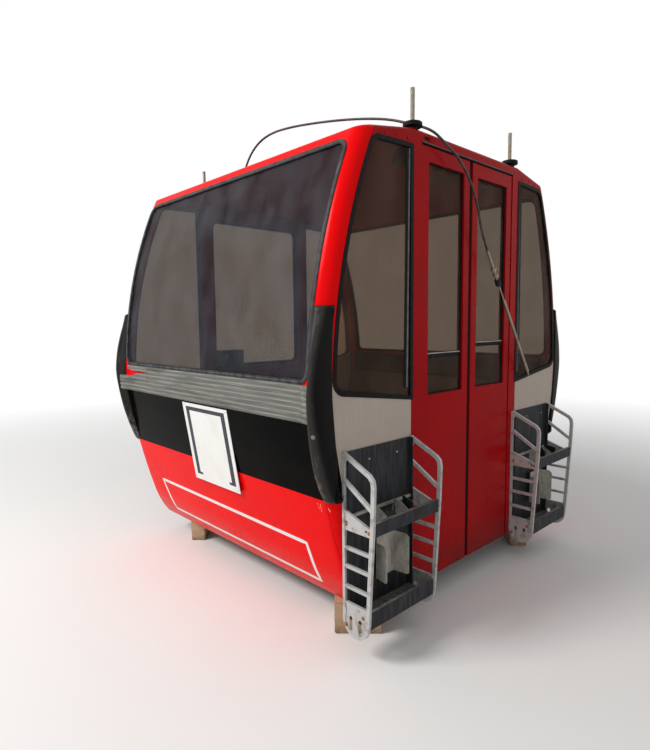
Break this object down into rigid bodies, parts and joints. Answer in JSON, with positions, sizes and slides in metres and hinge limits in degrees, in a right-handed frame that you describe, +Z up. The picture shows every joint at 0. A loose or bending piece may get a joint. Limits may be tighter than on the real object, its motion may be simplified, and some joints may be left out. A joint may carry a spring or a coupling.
{
  "type": "cable car cabin",
  "caption": "Retired enclosed gondola cabin with sliding doors, wide end windows and outside ski racks, parked on timber blocks.",
  "frame": {"origin": "on the ground under the middle of the cabin's outer box, the free cable left out", "axes": "+Z up through the hanger studs; +X along the direction of travel; the doors and ski racks face -Y"},
  "size_m": [2.22, 2.0344, 2.4955],
  "materials": {
    "red_paint": "gloss",
    "gloss_black_paint": "gloss",
    "bumper_rubber": "weathered",
    "fender_plastic": "satin",
    "taupe_laminate": "satin",
    "black_seal": "matte",
    "smoked_acrylic": "gloss",
    "tinted_glass": "gloss",
    "dark_red_paint": "gloss",
    "black_metal": "satin",
    "cast_aluminium": "cast",
    "grey_sheet": "satin",
    "black_tray_plastic": "matte",
    "zinc_steel": "plated",
    "orange_paint": "gloss",
    "seat_vinyl": "satin",
    "board_laminate": "satin",
    "roof_paint": "weathered",
    "floor_sheet": "dull",
    "timber": "rough sawn",
    "cable_sheath": "satin"
  },
  "bodies": {
    "root": {"end_lower_panels": "red_paint", "end_black_panels": "gloss_black_paint", "end_frame_left": "red_paint", "end_frame_right": "red_paint", "corner_fenders": "fender_plastic", "end_window_seals": "black_seal", "end_window_panes": "smoked_acrylic", "bumper_bands": "bumper_rubber", "door_wall": "dark_red_paint", "door_drip_strip": "black_seal", "side_panels_front": "taupe_laminate", "side_panels_back": "taupe_laminate", "side_window_seals": "black_seal", "side_window_panes": "tinted_glass", "back_wall": "dark_red_paint", "back_window_seal": "black_seal", "back_window_pane": "tinted_glass", "door_leaf_right": "dark_red_paint", "door_leaf_left": "dark_red_paint", "door_window_trims": "black_seal", "door_window_panes": "tinted_glass", "door_centre_seal": "black_seal", "door_rails": "black_metal", "roof_panel": "roof_paint", "floor_pan": "floor_sheet", "floor_beams": "floor_sheet", "door_drive_case": "black_metal", "door_drive_levers": "orange_paint", "bench_boxes": "board_laminate", "seat_cushions": "seat_vinyl", "backrest_boards": "board_laminate", "backrest_pads": "seat_vinyl", "latch_box": "black_metal", "rack_side_frames": "cast_aluminium", "rack_back_plates": "black_tray_plastic", "rack_front_boards": "black_tray_plastic", "rack_lower_trays": "black_tray_plastic", "rack_back_rails": "grey_sheet", "rack_dividers": "grey_sheet", "rack_cheeks": "grey_sheet", "rack_fins": "black_tray_plastic", "stud_mounts": "black_seal", "hanger_studs": "zinc_steel", "timber_blocks": "timber", "door_cable": "cable_sheath", "cable_gland": "black_tray_plastic", "cable_ferrule": "zinc_steel", "cable_adjuster": "zinc_steel", "cable_boot": "black_seal", "cable_rod": "zinc_steel"}
  },
  "joints": []
}
